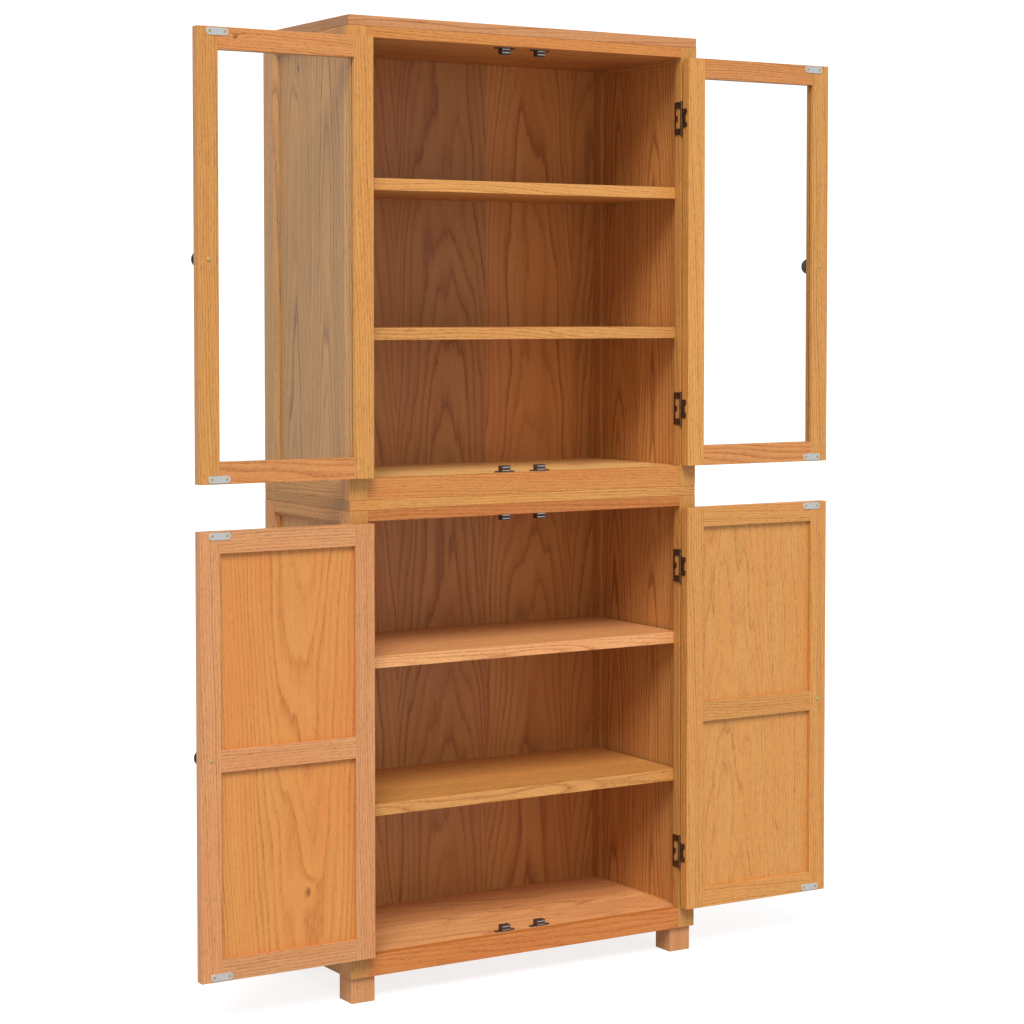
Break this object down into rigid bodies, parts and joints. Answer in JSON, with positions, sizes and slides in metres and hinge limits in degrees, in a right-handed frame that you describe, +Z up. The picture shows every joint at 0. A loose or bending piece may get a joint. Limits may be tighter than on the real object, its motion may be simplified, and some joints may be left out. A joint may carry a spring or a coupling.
{
  "type": "pantry cabinet",
  "caption": "Tall freestanding wooden pantry cabinet: stacked modules with inner shelves, glazed doors above and panelled doors below, all folded right back.",
  "frame": {"origin": "on the floor, at the middle of the whole footprint with the doors folded back", "axes": "+Z up, +X to the right seen from the front, +Y from the front to the back"},
  "size_m": [1.384, 0.3784, 1.8],
  "materials": {
    "wood_stile": "satin oiled honey oak, grain upright",
    "wood_rail": "satin oiled oak, grain across",
    "wood_board": "satin oiled oak, grain across",
    "wood_top": "satin oiled oak, grain across",
    "wood_panel": "satin oiled oak veneer, grain upright",
    "glass": "clear float glass",
    "hinge_bronze": "dark oil-rubbed bronze",
    "knob_bronze": "dark oil-rubbed bronze",
    "catch_plastic": "dark brown moulded plastic",
    "pole_steel": "bright steel strip",
    "zinc_steel": "zinc-plated steel"
  },
  "bodies": {
    "case": {"catch_bodies": "catch_plastic", "catch_pole_plates": "pole_steel", "catch_screws": "hinge_bronze", "feet": "wood_stile", "hinge_case_leaves": "hinge_bronze", "hinge_case_screws": "hinge_bronze", "hinge_pins": "hinge_bronze", "lower_back_panel": "wood_panel", "lower_ceiling_board": "wood_board", "lower_face_rails": "wood_rail", "lower_face_stiles": "wood_stile", "lower_floor_board": "wood_board", "lower_shelves": "wood_board", "lower_side_panels": "wood_panel", "lower_side_rails": "wood_rail", "lower_side_stiles": "wood_stile", "lower_top_board": "wood_top", "top_board_screws": "zinc_steel", "upper_back_panel": "wood_panel", "upper_ceiling_board": "wood_board", "upper_face_rails": "wood_rail", "upper_face_stiles": "wood_stile", "upper_floor_board": "wood_board", "upper_shelves": "wood_board", "upper_side_panels": "wood_panel", "upper_side_rails": "wood_rail", "upper_side_stiles": "wood_stile", "upper_top_board": "wood_top"},
    "upper_left_door": {"upper_left_door_glass": "glass", "upper_left_door_hinge_leaves": "hinge_bronze", "upper_left_door_hinge_screws": "hinge_bronze", "upper_left_door_knob": "knob_bronze", "upper_left_door_rails": "wood_rail", "upper_left_door_screws": "zinc_steel", "upper_left_door_stiles": "wood_stile", "upper_left_door_strike_plates": "zinc_steel"},
    "upper_right_door": {"upper_right_door_glass": "glass", "upper_right_door_hinge_leaves": "hinge_bronze", "upper_right_door_hinge_screws": "hinge_bronze", "upper_right_door_knob": "knob_bronze", "upper_right_door_rails": "wood_rail", "upper_right_door_screws": "zinc_steel", "upper_right_door_stiles": "wood_stile", "upper_right_door_strike_plates": "zinc_steel"},
    "lower_left_door": {"lower_left_door_hinge_leaves": "hinge_bronze", "lower_left_door_hinge_screws": "hinge_bronze", "lower_left_door_knob": "knob_bronze", "lower_left_door_panels": "wood_panel", "lower_left_door_rails": "wood_rail", "lower_left_door_screws": "zinc_steel", "lower_left_door_stiles": "wood_stile", "lower_left_door_strike_plates": "zinc_steel"},
    "lower_right_door": {"lower_right_door_hinge_leaves": "hinge_bronze", "lower_right_door_hinge_screws": "hinge_bronze", "lower_right_door_knob": "knob_bronze", "lower_right_door_panels": "wood_panel", "lower_right_door_rails": "wood_rail", "lower_right_door_screws": "zinc_steel", "lower_right_door_stiles": "wood_stile", "lower_right_door_strike_plates": "zinc_steel"}
  },
  "joints": [
    {"name": "upper_left_door_hinge", "type": "hinge", "parent": "case", "child": "upper_left_door", "pos_m": [-0.3465, -0.1638, 1.362], "axis": [0, 0, 1], "range_deg": [0, 180]},
    {"name": "upper_right_door_hinge", "type": "hinge", "parent": "case", "child": "upper_right_door", "pos_m": [0.3465, -0.1638, 1.362], "axis": [0, 0, -1], "range_deg": [0, 180]},
    {"name": "lower_left_door_hinge", "type": "hinge", "parent": "case", "child": "lower_left_door", "pos_m": [-0.3465, -0.1638, 0.486], "axis": [0, 0, 1], "range_deg": [0, 180]},
    {"name": "lower_right_door_hinge", "type": "hinge", "parent": "case", "child": "lower_right_door", "pos_m": [0.3465, -0.1638, 0.486], "axis": [0, 0, -1], "range_deg": [0, 180]}
  ]
}
